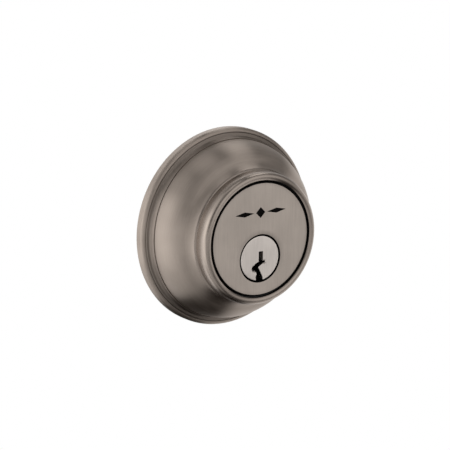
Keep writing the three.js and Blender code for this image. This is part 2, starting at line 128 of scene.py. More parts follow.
MARK = dict(z=8.5, depth=0.25, diamond=1.75, wing_x=6.0, wing_half=3.6, wing_rise=0.8)


# ------------------------------------------------------------------ profiles


def arc(r, depth, radius, start, end, steps):
    """Points along a circle's arc in the plane of the profile. Angles are in degrees."""
    angles = [math.radians(start + (end - start) * i / steps) for i in range(steps + 1)]
    return [(r + radius * math.cos(a), depth + radius * math.sin(a)) for a in angles]


def bezier(points, steps):
    """Points along a quadratic or cubic Bezier curve."""
    degree = len(points) - 1
    result = []
    for i in range(steps + 1):
        t = i / steps
        weights = [math.comb(degree, k) * t**k * (1 - t) ** (degree - k) for k in range(degree + 1)]
        point = [sum(w * p[axis] for w, p in zip(weights, points)) for axis in (0, 1)]
        result.append(tuple(point))
    return result


def rounded(corners, steps=4):
    """A polyline with its corners eased. Each corner is (radius, depth) or (radius, depth, easing)."""
    result = []
    for i, corner in enumerate(corners):
        here = Vector(corner[:2])
        ease = corner[2] if len(corner) > 2 else 0
        if not ease:
            result.append(tuple(here))
            continue
        before = Vector(corners[i - 1][:2])
        after = Vector(corners[(i + 1) % len(corners)][:2])
        start = here + (before - here).normalized() * ease
        end = here + (after - here).normalized() * ease
        result += bezier([tuple(start), tuple(here), tuple(end)], steps)
    return result


def without_repeats(points):
    """The points without those that fall on the one before."""
    kept = [points[0]]
    for point in points[1:]:
        if math.dist(point, kept[-1]) > 1e-5:
            kept.append(point)
    return kept


# ------------------------------------------------------------------ mesh helpers


def new_object(name, bm):
    """Turns a finished bmesh into an object in the scene."""
    bmesh.ops.recalc_face_normals(bm, faces=bm.faces)
    mesh = bpy.data.meshes.new(name)
    bm.to_mesh(mesh)
    bm.free()
    piece = bpy.data.objects.new(name, mesh)
    bpy.context.scene.collection.objects.link(piece)
    return piece


def turned(name, profile, facets=FINE, x=0.0, z=0.0):
    """A closed solid of revolution about the Y direction through (x, z).

    The profile starts and ends on the axis, or closes on itself."""
    profile = without_repeats(profile)
    closed = profile[0][0] > 1e-6
    if closed and math.dist(profile[0], profile[-1]) < 1e-5:
        profile = profile[:-1]
    bm = bmesh.new()
    rings = []
    for radius, depth in profile:
        if radius < 1e-6:
            rings.append([bm.verts.new((x * MM, -depth * MM, z * MM))])
            continue
        ring = []
        for i in range(facets):
            angle = 2 * math.pi * i / facets
            across = x + radius * math.cos(angle)
            up = z + radius * math.sin(angle)
            ring.append(bm.verts.new((across * MM, -depth * MM, up * MM)))
        rings.append(ring)
    pairs = list(zip(rings, rings[1:] + ([rings[0]] if closed else [])))
    for first, second in pairs:
        for i in range(facets):
            j = (i + 1) % facets
            if len(first) == 1 and len(second) == 1:
                continue
            if len(first) == 1:
                bm.faces.new((first[0], second[i], second[j]))
            elif len(second) == 1:
                bm.faces.new((first[i], first[j], second[0]))
            else:
                bm.faces.new((first[i], first[j], second[j], second[i]))
    return new_object(name, bm)


def drilled(radius, depth_from, depth_to, x=0.0, z=0.0, facets=SMALL):
    """A round cutting tool along Y."""
    profile = [(0, depth_from), (radius, depth_from), (radius, depth_to), (0, depth_to)]
    return turned("tool", profile, facets, x, z)


def upright_tool(radius, low, high, x, depth, facets=SMALL):
    """A round cutting tool along Z."""
    tool = drilled(radius, low, high, facets=facets)
    turn = Matrix.Rotation(math.pi / 2, 4, "X")
    place = Matrix.Translation((x * MM, -depth * MM, 0))
    tool.data.transform(place @ turn.inverted())
    return tool


def prism(name, outline, depth_from, depth_to):
    """A flat outline in x and z carried along Y."""
    bm = bmesh.new()
    near = [bm.verts.new((x * MM, -depth_from * MM, z * MM)) for x, z in outline]
    far = [bm.verts.new((x * MM, -depth_to * MM, z * MM)) for x, z in outline]
    count = len(outline)
    for i in range(count):
        j = (i + 1) % count
        bm.faces.new((near[i], near[j], far[j], far[i]))
    bm.faces.new(near)
    bm.faces.new(far[::-1])
    return new_object(name, bm)


def rectangle(half_width, half_height, x=0.0, z=0.0):
    """An outline round (x, z) for a prism."""
    return [
        (x - half_width, z - half_height),
        (x + half_width, z - half_height),
        (x + half_width, z + half_height),
        (x - half_width, z + half_height),
    ]


def polar(radius, degrees):
    """x and z at this radius, with the angle counted from +X towards +Z."""
    angle = math.radians(degrees)
    return radius * math.cos(angle), radius * math.sin(angle)


def cut(piece, tools):
    """Takes the tools' solids out of the piece, one after another, and removes the tools."""
    for tool in tools:
        boolean = piece.modifiers.new("cut", "BOOLEAN")
        boolean.operation = "DIFFERENCE"
        boolean.solver = "MANIFOLD"
        boolean.object = tool
        evaluated = piece.evaluated_get(bpy.context.evaluated_depsgraph_get())
        mesh = bpy.data.meshes.new_from_object(evaluated)
        piece.modifiers.clear()
        old = piece.data
        piece.data = mesh
        bpy.data.meshes.remove(old)
        bpy.data.meshes.remove(tool.data)
    return piece


def smooth(piece, sharp_degrees=34):
    """Smooth shading that stays crisp at real edges and flat on flat faces."""
    for polygon in piece.data.polygons:
        polygon.use_smooth = True
    piece.data.set_sharp_from_angle(angle=math.radians(sharp_degrees))
    weighted = piece.modifiers.new("even_normals", "WEIGHTED_NORMAL")
    weighted.keep_sharp = True
    return piece


def place(piece, body, slot, material, *nodes):
    """Finishes a piece: its shading, material, body and the CAD nodes that it stands for."""
    piece.name = nodes[0] + "_turned"
    piece.data.name = piece.name
    smooth(piece)
    piece.data.materials.clear()
    piece.data.materials.append(material)
    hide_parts(*nodes)
    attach(piece, body)
    return piece


def paint(piece, material, chosen):
    """Gives one more material to the polygons whose centre passes the test.

    The test is called with the centre's x, depth and z in millimetres."""
    piece.data.materials.append(material)
    index = len(piece.data.materials) - 1
    for polygon in piece.data.polygons:
        x, y, z = polygon.center / MM
        if chosen(x, -y, z):
            polygon.material_index = index


# ------------------------------------------------------------------ material helpers


class Nodes:
    """A material's node tree, with short calls to add and join nodes."""

    def __init__(self, name):
        self.material = bpy.data.materials.new(name)
        self.material.use_nodes = True
        self.tree = self.material.node_tree
        self.shader = self.tree.nodes["Principled BSDF"]
        self.coordinates = self.add("ShaderNodeTexCoord").outputs["Object"]

    def add(self, kind, **inputs):
        """Adds a node. Inputs are given by name, or by number as i0, i1 and so on."""
        node = self.tree.nodes.new(kind)
        for key, value in inputs.items():
            numbered = key[0] == "i" and key[1:].isdigit()
            self.join(value, node.inputs[int(key[1:]) if numbered else key])
        return node

    def join(self, value, socket):
        if isinstance(value, bpy.types.NodeSocket):
            self.tree.links.new(value, socket)
        else:
            socket.default_value = value

    def maths(self, operation, a, b=0.0):
        node = self.add("ShaderNodeMath", i0=a, i1=b)
        node.operation = operation
        return node.outputs[0]

    def vector(self, x, y, z):
        return self.add("ShaderNodeCombineXYZ", i0=x, i1=y, i2=z).outputs[0]

    def noise(self, vector, scale, detail=2.0, roughness=0.5):
        settings = dict(Scale=scale, Detail=detail, Roughness=roughness)
        return self.add("ShaderNodeTexNoise", Vector=vector, **settings).outputs["Fac"]

    def spread(self, value, low, high, to_low, to_high):
        """Maps the range from low to high onto the range from to_low to to_high."""
        node = self.add("ShaderNodeMapRange", i0=value, i1=low, i2=high, i3=to_low, i4=to_high)
        return node.outputs[0]

    def mix(self, factor, a, b, blend="MIX"):
        node = self.add("ShaderNodeMix")
        node.data_type = "RGBA"
        node.blend_type = blend
        self.join(factor, node.inputs["Factor"])
        self.join(a, node.inputs[6])
        self.join(b, node.inputs[7])
        return node.outputs[2]

    def cylindrical(self, centre_z):
        """The sockets x, y, z and the distance from the Y axis through z = centre_z."""
        split = self.add("ShaderNodeSeparateXYZ", i0=self.coordinates).outputs
        x = split["X"]
        z = self.maths("SUBTRACT", split["Z"], centre_z)
        squares = self.maths("ADD", self.maths("MULTIPLY", x, x), self.maths("MULTIPLY", z, z))
        return x, split["Y"], z, self.maths("SQRT", squares)

    def turned_grain(self, centre_z, across, along):
        """A coordinate whose noise runs in fine lines round the Y axis through z = centre_z."""
        x, y, z, radius = self.cylindrical(centre_z)
        safe = self.maths("MAXIMUM", radius, 1e-5)
        cosine = self.maths("DIVIDE", x, safe)
        sine = self.maths("DIVIDE", z, safe)
        reach = self.maths("MULTIPLY", self.maths("SUBTRACT", radius, y), across)
        across_x = self.maths("MULTIPLY", cosine, along)
        across_z = self.maths("MULTIPLY", sine, along)
        return self.vector(across_x, reach, across_z)

    def straight_grain(self, scale):
        """A coordinate stretched along the axis with the smallest scale."""
        return self.add("ShaderNodeMapping", Vector=self.coordinates, Scale=scale).outputs[0]


def rgba(colour, factor=1.0):
    """A colour made lighter or darker, with full alpha."""
    return tuple(min(1.0, c * factor) for c in colour) + (1.0,)


def metal(name, colour, roughness, grain, streak=0.12, patina_and_shade=0.3, anisotropy=0.0, tangent=None,
          tarnish_and_shade=None, bump=0.04):
    """A plated or machined metal: fine grain in its gloss and height, and painted shade in its corners,
    where ambient occlusion darkens the colour, which also stands for patina.

    grain makes the grain's coordinate, tangent the brushing direction, patina_and_shade how dark the
    painted corner shade gets and tarnish_and_shade a tone for the colour, used for painted shade."""
    n = Nodes(name)
    lines = n.noise(grain(n), 1.0, detail=3.0, roughness=0.6)
    drift = n.noise(n.coordinates, 90.0, detail=3.0)
    base = n.mix(n.spread(drift, 0.35, 0.65, 0.0, 1.0), rgba(colour, 0.94), rgba(colour, 1.05))
    dark_line = rgba((1 - streak,) * 3)
    lined = n.mix(n.spread(lines, 0.3, 0.7, 0.0, 1.0), dark_line, rgba((1.0,) * 3))
    base = n.mix(1.0, base, lined, "MULTIPLY")
    # Painted shade: ambient occlusion darkens the colour in corners and creases, partly standing for
    # patina.
    corner_shade = n.add("ShaderNodeAmbientOcclusion", Distance=0.002)
    corner_shade.samples = 8
    tone = n.spread(corner_shade.outputs["AO"], 0.15, 0.75, 1.0 - patina_and_shade, 1.0)
    if tarnish_and_shade:
        tone = n.maths("MULTIPLY", tone, tarnish_and_shade(n))
    shaded = n.vector(tone, tone, tone)
    base = n.mix(1.0, base, shaded, "MULTIPLY")
    n.join(base, n.shader.inputs["Base Color"])
    n.shader.inputs["Metallic"].default_value = 1.0
    rough = n.spread(lines, 0.25, 0.75, roughness * 0.88, roughness * 1.14)
    n.join(rough, n.shader.inputs["Roughness"])
    height = n.add("ShaderNodeBump", Height=lines, Strength=bump, Distance=0.00002)
    n.join(height.outputs[0], n.shader.inputs["Normal"])
    if anisotropy:
        n.shader.inputs["Anisotropic"].default_value = anisotropy
        n.shader.inputs["Anisotropic Rotation"].default_value = 0.25
        if tangent:
            n.join(tangent(n), n.shader.inputs["Tangent"])
    return n.material


def matte(name, colour, roughness, grain_scale, speckle=0.25, bump=0.25, shine=0.5):
    """Moulded nylon or rubber: a fine matte grain with slight colour and gloss variation."""
    n = Nodes(name)
    fine = n.noise(n.coordinates, grain_scale, detail=4.0, roughness=0.6)
    broad = n.noise(n.coordinates, grain_scale * 0.06, detail=2.0)
    dark, light = rgba(colour, 1 - speckle), rgba(colour, 1 + speckle)
    tone = n.mix(n.spread(broad, 0.3, 0.7, 0.0, 1.0), dark, light)
    n.join(tone, n.shader.inputs["Base Color"])
    n.shader.inputs["Specular IOR Level"].default_value = shine
    n.join(n.spread(fine, 0.3, 0.7, roughness * 0.85, roughness * 1.1), n.shader.inputs["Roughness"])
    height = n.add("ShaderNodeBump", Height=fine, Strength=bump, Distance=0.0001)
    n.join(height.outputs[0], n.shader.inputs["Normal"])
    return n.material


def round_y(n):
    """Brushing direction round the Y axis of the piece."""
    node = n.add("ShaderNodeTangent")
    node.direction_type = "RADIAL"
    node.axis = "Y"
    return node.outputs[0]


def straight_z(n):
    """Brushing direction straight up and down, for a flat face that looks along Y."""
    node = n.add("ShaderNodeTangent")
    node.direction_type = "RADIAL"
    node.axis = "X"
    return node.outputs[0]


# ------------------------------------------------------------------ materials

TRIM_NICKEL = (0.365, 0.312, 0.272)
NOSE_NICKEL = (0.325, 0.278, 0.243)
FACE_NICKEL = (0.505, 0.443, 0.393)
PLUG_NICKEL = (0.78, 0.715, 0.665)
BRASS = (0.68, 0.52, 0.26)
STEEL = (0.56, 0.55, 0.54)
ZINC = (0.62, 0.63, 0.64)
BLACK_STEEL = (0.05, 0.05, 0.052)

# How fine the brushing is, in noise cells to the metre. A turned line's length goes by its angle.
TURNED_GRAIN = dict(across=9000.0, along=3.0)
UPRIGHT_GRAIN = (5200.0, 700.0, 130.0)
LONG_GRAIN = (4000.0, 160.0, 4000.0)

# Where painted shade darkens the colour, in the trim's hollow also standing for patina: the radii where it
# starts and stops, in mm, and how dark it gets.
HOLLOW_SHADE_AND_PATINA = dict(start=28.8, full=29.0, full_end=30.3, end=30.5, tone=0.7)
FACE_PAINTED_SHADE = dict(rim_start=16.8, rim=17.9, tone=0.86)


def turned_lines(n):
    """Lines round the trim's axis."""
    return n.turned_grain(0.0, **TURNED_GRAIN)


def plug_lines(n):
    """Lines round the plug's axis."""
    return n.turned_grain(PLUG_Z * MM, **TURNED_GRAIN)


def upright_lines(n):
    """Lines up and down."""
    return n.straight_grain(UPRIGHT_GRAIN)


def long_lines(n):
    """Lines into the door, along the tailpiece."""
    return n.straight_grain(LONG_GRAIN)


def even_grain(n):
    """No lines."""
    return n.coordinates


def hollow_shade_and_patina(n):
    """Painted shade down in the step and the cove between the rim and the dome, partly standing for patina.
    """
    radius = n.cylindrical(0.0)[3]
    size = HOLLOW_SHADE_AND_PATINA
    inner = n.spread(radius, size["start"] * MM, size["full"] * MM, 1.0, size["tone"])
    outer = n.spread(radius, size["full_end"] * MM, size["end"] * MM, size["tone"], 1.0)
    return n.maths("MAXIMUM", inner, outer)


def face_painted_shade(n):
    """Painted shade: the face's colour darkens a little where it runs up to the plug and to its own rim."""
    from_plug = n.cylindrical(PLUG_Z * MM)[3]
    from_centre = n.cylindrical(0.0)[3]
    dark = FACE_PAINTED_SHADE["tone"]
    by_plug = n.spread(from_plug, PLUG_HEAD_BORE_R * MM, FACE_DISH["r"] * MM, dark, 1.0)
    by_rim = n.spread(from_centre, FACE_PAINTED_SHADE["rim_start"] * MM, FACE_PAINTED_SHADE["rim"] * MM, 1.0, dark)
    return n.maths("MULTIPLY", by_plug, by_rim)


# Painted shade: the trim's colour darkens in its corners and in its hollow, partly standing for patina.
trim_nickel = metal("trim_nickel", TRIM_NICKEL, 0.37, turned_lines, patina_and_shade=0.5, anisotropy=0.95,
                    tangent=round_y, tarnish_and_shade=hollow_shade_and_patina)
nose_nickel = metal("nose_nickel", NOSE_NICKEL, 0.28, turned_lines, patina_and_shade=0.5, anisotropy=0.6,
                    tangent=round_y)
# The face's colour carries painted shade round the plug and round its rim.
face_nickel = metal("face_nickel", FACE_NICKEL, 0.4, upright_lines, anisotropy=0.5, tangent=straight_z,
                    tarnish_and_shade=face_painted_shade)
plug_nickel = metal("plug_nickel", PLUG_NICKEL, 0.36, upright_lines, anisotropy=0.4, tangent=straight_z)
brass = metal("machined_brass", BRASS, 0.28, plug_lines)
steel = metal("stamped_steel", STEEL, 0.35, long_lines)
zinc_steel = metal("zinc_plate", ZINC, 0.3, even_grain, streak=0.06, patina_and_shade=0.35)
black_steel = metal("hardened_steel", BLACK_STEEL, 0.4, turned_lines)
nylon = matte("black_nylon", (0.022, 0.022, 0.024), 0.5, 9000.0)
rubber = matte("seal_rubber", (0.014, 0.014, 0.015), 0.8, 12000.0)
# Near-black: the enamel in the mark, and painted shade on the walls of the gaps round the face and the plug
# and in the keyway.
enamel_and_gap_shade = matte("enamel_and_gap_shade", (0.0015, 0.001, 0.0008), 0.9, 9000.0, shine=0.1)


# ------------------------------------------------------------------ trim collar


def trim_outline():
    """The outside, from the flange's back edge over the dome and the nose to the lip."""
    rim = RIM_EDGE_R
    steps = CURVE_STEPS
    points = [(FLANGE_R - CLEAR, 0), (FLANGE_R, CLEAR)]
    points += arc(FLANGE_R - rim, RIM_DEPTH - rim, rim, 0, 90, steps["rim"])
    step_outer = (STEP["outer"], STEP["depth"], STEP["ease"])
    step_inner = (STEP["inner"], STEP["depth"])
    points += rounded([GROOVE, step_outer, step_inner])
    points += bezier([step_inner, COVE["handle"], COVE["end"]], steps["cove"])
    points += bezier([DOME["start"], DOME["lower"], DOME["upper"], DOME["end"]], steps["dome"])
    points += bezier([DOME["end"], NECK["handle"], NECK["end"]], steps["neck"])
    points += bezier([NOSE["foot"], NOSE["side"], NOSE["edge"], NOSE["crown"]], steps["nose"])
    lip_handle = (LIP_R + LIP_EASE, LIP_DEPTH + LIP_EASE)
    points += bezier([NOSE["crown"], lip_handle, (LIP_R, LIP_DEPTH)], steps["lip"])
    return points


def trim_collar():
    """The collar, hollow inside, with a groove for the gasket and three holes for the screws."""
    groove_inner = GASKET["inner"] - GASKET["room"]
    groove_outer = GASKET["outer"] + GASKET["room"]
    groove_floor = GASKET["front"] + HAIR
    inside = [
        (LIP_R, LIP_BACK),
        (LIP_WALL, LIP_BACK),
        (LIP_WALL, HEAD_SEAT + CLEAR),
        (SHOULDER_R + CLEAR, HEAD_SEAT + CLEAR),
        (SHOULDER_R + CLEAR, PLATE["front"] + CLEAR),
        (PLATE["outer"] + PLATE["room"], PLATE["front"] + CLEAR),
        (*SHELL["bend"], 0.5),
        (SHELL["inner"], SHELL["straight"], 0.5),
        (SHELL["inner"], 0, 0.2),
        (groove_inner, 0, HAIR),
        (groove_inner, groove_floor),
        (groove_outer, groove_floor),
        (groove_outer, 0, HAIR),
    ]
    collar = turned("collar", trim_outline() + rounded(inside))
    holes = []
    for angle in SCREW_ANGLES:
        x, z = polar(SCREW["at"], angle)
        holes.append(drilled(SCREW["hole"], PLATE["front"] - PAST, SCREW["tip"] + CLEAR, x, z))
    return cut(collar, holes)


def on_nose(x, depth, z):
    """The nose ring, in front of the crease at the end of the neck."""
    return math.hypot(x, z) < NECK["end"][0] and depth > NECK["end"][1] + HAIR


def in_lip(x, depth, z):
    """The wall of the opening that the cylinder's face shows through."""
    return math.hypot(x, z) < LIP_WALL + HAIR and depth < LIP_DEPTH - HAIR


collar = place(trim_collar(), "housing", "trim_nickel", trim_nickel, "trim_collar")
paint(collar, nose_nickel, on_nose)
# Painted shade: the lip's wall is coloured near-black, as the gap round the face.
paint(collar, enamel_and_gap_shade, in_lip)


def ring(name, size, ease, facets=FINE):
    """A flat ring with its four edges eased."""
    corners = [
        (size["inner"], size["front"], ease),
        (size["outer"], size["front"], ease),
        (size["outer"], size["back"], ease),
        (size["inner"], size["back"], ease),
    ]
    return turned(name, rounded(corners) + rounded(corners)[:1], facets)


place(ring("guard", GUARD, 0.15), "guard_ring", "hardened_steel", black_steel, "guard_ring")
place(ring("gasket", GASKET, 0.3), "housing", "seal_rubber", rubber, "gasket")


# ------------------------------------------------------------------ lock cylinder


def lozenge(half_width, half_height, x, z):
    """A pointed outline round (x, z) for a prism."""
    return [(x - half_width, z), (x, z - half_height), (x + half_width, z), (x, z + half_height)]


def mark_tools():
    """Tools for the plain mark on the face: a diamond between two wings."""
    floor = FACE_DEPTH - MARK["depth"]
    top = FACE_DEPTH + PAST
    tools = [prism("tool", lozenge(MARK["diamond"], MARK["diamond"], 0, MARK["z"]), floor, top)]
    for side in (-1, 1):
        outline = lozenge(MARK["wing_half"], MARK["wing_rise"], side * MARK["wing_x"], MARK["z"])
        tools.append(prism("tool", outline, floor, top))
    return tools


def plug_bore_tool():
    """One tool for the plug's bore, the mouth for the plug's head and the dish in the face."""
    mouth_end = PLUG_HEAD_BACK - PLUG_HEAD_ROOM
    chamfer = FACE_DISH["chamfer"]
    dish_start = (FACE_DISH["r"], FACE_DEPTH)
    dish_handle = (FACE_DISH["handle"], FACE_DEPTH)
    dish_floor = FACE_DEPTH - FACE_DISH["depth"]
    dish_end = (PLUG_HEAD_BORE_R + chamfer, dish_floor)
    profile = [(0, FACE_DEPTH + PAST), (FACE_DISH["r"], FACE_DEPTH + PAST)]
    profile += bezier([dish_start, dish_handle, dish_end], CURVE_STEPS["dish"])
    profile += [
        (PLUG_HEAD_BORE_R, dish_floor - chamfer),
        (PLUG_HEAD_BORE_R, mouth_end),
        (PLUG_BORE_R, mouth_end),
        (PLUG_BORE_R, BARREL_BACK + PLUG_BORE_CHAMFER),
        (PLUG_BORE_R + PLUG_BORE_CHAMFER + PAST, BARREL_BACK - PAST),
        (0, BARREL_BACK - PAST),
    ]
    return turned("tool", profile, FINE, 0, PLUG_Z)


def cylinder_body():
    """The cylinder: face, shoulder and barrel, bored for the plug, the pins and their cover."""
    body = turned("body", rounded([
        (0, FACE_DEPTH),
        (HEAD_R, FACE_DEPTH, FACE_EASE),
        (HEAD_R, HEAD_SEAT),
        (SHOULDER_R, HEAD_SEAT, 0.2),
        (SHOULDER_R, SHOULDER_BACK, 0.2),
        (BARREL_R, SHOULDER_BACK),
        (BARREL_R, BARREL_BACK, 0.6),
        (0, BARREL_BACK),
    ], 6))
    tools = [plug_bore_tool()]
    slot_low = COVER_SLOT["floor"]
    slot_high = SHOULDER_R + PAST
    tools += [upright_tool(CHAMBER_R, PLUG_Z, slot_low + PAST, 0, depth) for depth in PIN_DEPTHS]
    outline = rectangle(COVER_SLOT["half"], (slot_high - slot_low) / 2, 0, (slot_high + slot_low) / 2)
    tools.append(prism("tool", outline, COVER_SLOT["back"], COVER_SLOT["front"]))
    drill = BODY_DRILL
    for side in (-1, 1):
        x = side * drill["x"]
        tools.append(upright_tool(drill["r"], drill["low"], HEAD_R + PAST, x, drill["depth"]))
    return cut(body, tools + mark_tools())


def in_mark(x, depth, z):
    """The walls and floors of the mark."""
    sunk = FACE_DEPTH - MARK["depth"] - TINY < depth < FACE_DEPTH - TINY
    beside = abs(x) < MARK["wing_x"] + MARK["wing_half"]
    return sunk and beside and abs(z - MARK["z"]) < MARK["diamond"]


def in_face_gap(x, depth, z):
    """The side of the head, in the narrow gap round the face."""
    return math.hypot(x, z) > HEAD_R - FACE_EASE and depth > HEAD_SEAT + HAIR


def in_plug_gap(x, depth, z):
    """The walls of the plug's bore, with the chamfer at its mouth."""
    return math.hypot(x, z - PLUG_Z) < PLUG_HEAD_BORE_R + 0.8 * FACE_DISH["chamfer"]


def darkened(x, depth, z):
    """What is coloured near-black on the cylinder: the mark's enamel, and painted shade on the head's side
    and eased edge in the gap round the face, and in the plug's bore.
    """
    return in_mark(x, depth, z) or in_face_gap(x, depth, z) or in_plug_gap(x, depth, z)


body = place(cylinder_body(), "housing", "face_nickel", face_nickel, "cylinder_body")
# Near-black enamel in the mark, and painted shade in the gaps round the face and the plug.
paint(body, enamel_and_gap_shade, darkened)


# ------------------------------------------------------------------ plug

# The keyway's two sides as x and z from the plug's axis: the right side from the top down to the
# opening in the plug's underside, then the left side back up.
KEYWAY_RIGHT = [(1.2, 2.2), (1.2, -1.0), (1.9, -1.4), (0.5, -2.1), (-0.6, -2.75), (0.3, -4.4), (1.15, -6.2)]
KEYWAY_MOUTH = (1.2, -1.25)
KEYWAY_LEFT = [(-1.6, -5.8), (-1.15, -4.9), (-2.2, -3.0), (-1.9, -1.6), (-0.45, -1.0), (-0.45, 2.2)]


def keyway_tool():
    """The warded slot for the key, the whole length of the plug and open below."""
    mouth = [(x, -PLUG_HEAD_R - PAST) for x in KEYWAY_MOUTH]
    outline = [(x, z + PLUG_Z) for x, z in KEYWAY_RIGHT + mouth + KEYWAY_LEFT]
    return prism("tool", outline, PLUG_NECK_BACK - PAST, FACE_DEPTH + PAST)


def key_relief(x, z, radius, depth):
    """A shallow cone in the plug's face."""
    floor = PLUG_FACE - depth
    top = PLUG_FACE + PAST
    profile = [(0, floor), (radius - depth, floor), (radius + PAST, top), (0, top)]
    return turned("tool", profile, SMALL, x, z + PLUG_Z)


def plug():
    """The plug: head, barrel and threaded neck, with the keyway and the holes for the pins."""
    piece = turned("plug", rounded([
        (0, PLUG_FACE),
        (PLUG_HEAD_R, PLUG_FACE, PLUG_HEAD_EASE),
        (PLUG_HEAD_R, PLUG_HEAD_BACK, 0.1),
        (PLUG_R, PLUG_HEAD_BACK),
        (PLUG_R, PLUG_BACK, 0.1),
        (PLUG_NECK_R, PLUG_BACK),
        (PLUG_NECK_R, PLUG_NECK_BACK, 0.2),
        (0, PLUG_NECK_BACK),
    ]), FINE, 0, PLUG_Z)
    tools = [keyway_tool()] + [key_relief(*relief) for relief in KEY_RELIEFS]
    top = SHEAR_Z + PAST
    tools += [upright_tool(CHAMBER_R, PIN_HOLE_LOW, top, 0, depth) for depth in PIN_DEPTHS]
    drill = PLUG_DRILL
    for side in (-1, 1):
        tools.append(upright_tool(drill["r"], drill["low"], top, side * drill["x"], drill["depth"]))
    cap_pin_z = PLUG_Z + CAP_PIN["offset"]
    tools.append(drilled(CAP_PIN["hole"], CAP_PIN["pocket"], CAP["back"], 0, cap_pin_z))
    return cut(piece, tools)


def in_shadow_of_plug(x, depth, z):
    """The side of the head, and the walls of the keyway and pin holes."""
    radius = math.hypot(x, z - PLUG_Z)
    below_face = depth < PLUG_FACE - PLUG_HEAD_EASE - TINY
    return below_face and (radius < PLUG_R - 2 * HAIR or depth > PLUG_HEAD_BACK)


turned_plug = place(plug(), "plug", "plug_nickel", plug_nickel, "plug")
# Painted shade: the head's side and the walls of the keyway and pin holes are coloured near-black.
paint(turned_plug, enamel_and_gap_shade, in_shadow_of_plug)


def plug_cap():
    """The cap on the plug's neck, with four notches in its lip for the cap pin."""
    cap = turned("cap", rounded([
        (CAP["bore"], CAP["front"], 0.1),
        (CAP["r"], CAP["front"], 0.3),
        (CAP["r"], CAP["back"], 0.5),
        (CAP["hole"], CAP["back"], 0.15),
        (CAP["hole"], CAP["lip"], 0.05),
        (CAP["bore"], CAP["lip"]),
    ]), FINE, 0, PLUG_Z)
    notches = []
    for quarter in range(4):
        x, z = polar(CAP_PIN["offset"], 90 + 90 * quarter)
        notches.append(drilled(CAP_PIN["hole"], CAP["lip"] + HAIR, CAP["back"] - PAST, x, PLUG_Z + z))
    return cut(cap, notches)


place(plug_cap(), "plug", "brass", brass, "plug_cap")

cap_pin = turned("pin", rounded([
    (0, CAP_PIN["front"]),
    (CAP_PIN["r"], CAP_PIN["front"], 0.1),
    (CAP_PIN["r"], CAP_PIN["back"], 0.25),
    (0, CAP_PIN["back"]),
]), SMALL, 0, PLUG_Z + CAP_PIN["offset"])
place(cap_pin, "cap_pin", "steel", steel, "cap_pin")


# ------------------------------------------------------------------ fixings behind the trim


def retaining_plate():
    """The plate that holds the cylinder in the collar, with holes for the posts and the screws."""
    plate = ring("plate", PLATE, 0.25)
    front = PLATE["front"] + PAST
    back = PLATE["back"] - PAST
    holes = [drilled(POST["hole"], front, back, side * POST["x"]) for side in (-1, 1)]
    for angle in SCREW_ANGLES:
        x, z = polar(SCREW["at"], angle)
        holes.append(drilled(SCREW["hole"], front, back, x, z))
    return cut(plate, holes)


place(retaining_plate(), "housing", "zinc_steel", zinc_steel, "retaining_plate")


def plate_screw(x, z):
    """A pan-head screw with a cross recess and a threaded shank."""
    head, shank, tip = SCREW["head"], SCREW["shank"], SCREW["tip"]
    pitch = SCREW_THREAD["pitch"]
    root = shank - SCREW_THREAD["depth"]
    seat = PLATE["back"] - HAIR
    top = seat - SCREW["height"]
    crown = [(head * 0.45, top), (head, top + HAIR), (head, top + SCREW["crown"])]
    profile = [(0, top)] + bezier(crown, CURVE_STEPS["screw"])
    profile += [(head, seat), (shank, seat)]
    for i in range(SCREW_THREAD["turns"]):
        depth = seat + pitch + pitch * i
        profile += [(root, depth), (shank, depth + pitch / 2)]
    profile += [(root, tip - SCREW["point"]), (shank * 0.4, tip), (0, tip)]
    screw = turned("screw", profile, SMALL, x, z)
    half, reach = SCREW_RECESS["half"], SCREW_RECESS["reach"]
    floor = top + SCREW_RECESS["depth"]
    arms = [rectangle(half, reach, x, z), rectangle(reach, half, x, z)]
    return cut(screw, [prism("tool", arm, top - PAST, floor) for arm in arms])


for number, angle in enumerate(SCREW_ANGLES, 1):
    screw = plate_screw(*polar(SCREW["at"], angle))
    place(screw, "housing", "zinc_steel", zinc_steel, f"plate_screw_{number}")


def screw_post(x):
    """A post with a spigot through the plate and a threaded bore open to the inside of the door."""
    spigot_end = PLATE["front"] - HAIR
    root = POST_TAP["r"]
    pitch = POST_TAP["pitch"]
    tap_end = POST["back"] + POST_TAP["length"]
    profile = rounded([
        (0, spigot_end),
        (POST["spigot"], spigot_end, 0.2),
        (POST["spigot"], POST["front"]),
        (POST["r"], POST["front"], 0.15),
        (POST["r"], POST["back"], 0.4),
        (root + POST_TAP["mouth"], POST["back"]),
    ])
    depth = POST["back"] + POST_TAP["mouth"]
    while depth < tap_end - pitch:
        profile += [(root, depth), (root + POST_TAP["thread"], depth + pitch / 2)]
        depth += pitch
    profile += [(root, tap_end), (0, tap_end + POST_TAP["point"])]
    return turned("post", profile, MEDIUM, x, 0)


place(screw_post(-POST["x"]), "housing", "zinc_steel", zinc_steel, "screw_post_left")
place(screw_post(POST["x"]), "housing", "zinc_steel", zinc_steel, "screw_post_right")

sleeve_corners = [
    (SLEEVE["inner"], SLEEVE["front"], 0.3),
    (SLEEVE["nose"], SLEEVE["front"], 0.4),
    (SLEEVE["nose"], SLEEVE["step"]),
    (SLEEVE["outer"], SLEEVE["step"], 0.2),
    (SLEEVE["outer"], SLEEVE["back"], 0.6),
    (SLEEVE["inner"], SLEEVE["back"], 0.3),
]
place(turned("sleeve", rounded(sleeve_corners)), "housing", "nylon", nylon, "bore_sleeve")


# ------------------------------------------------------------------ CAD nodes that keep their own shape

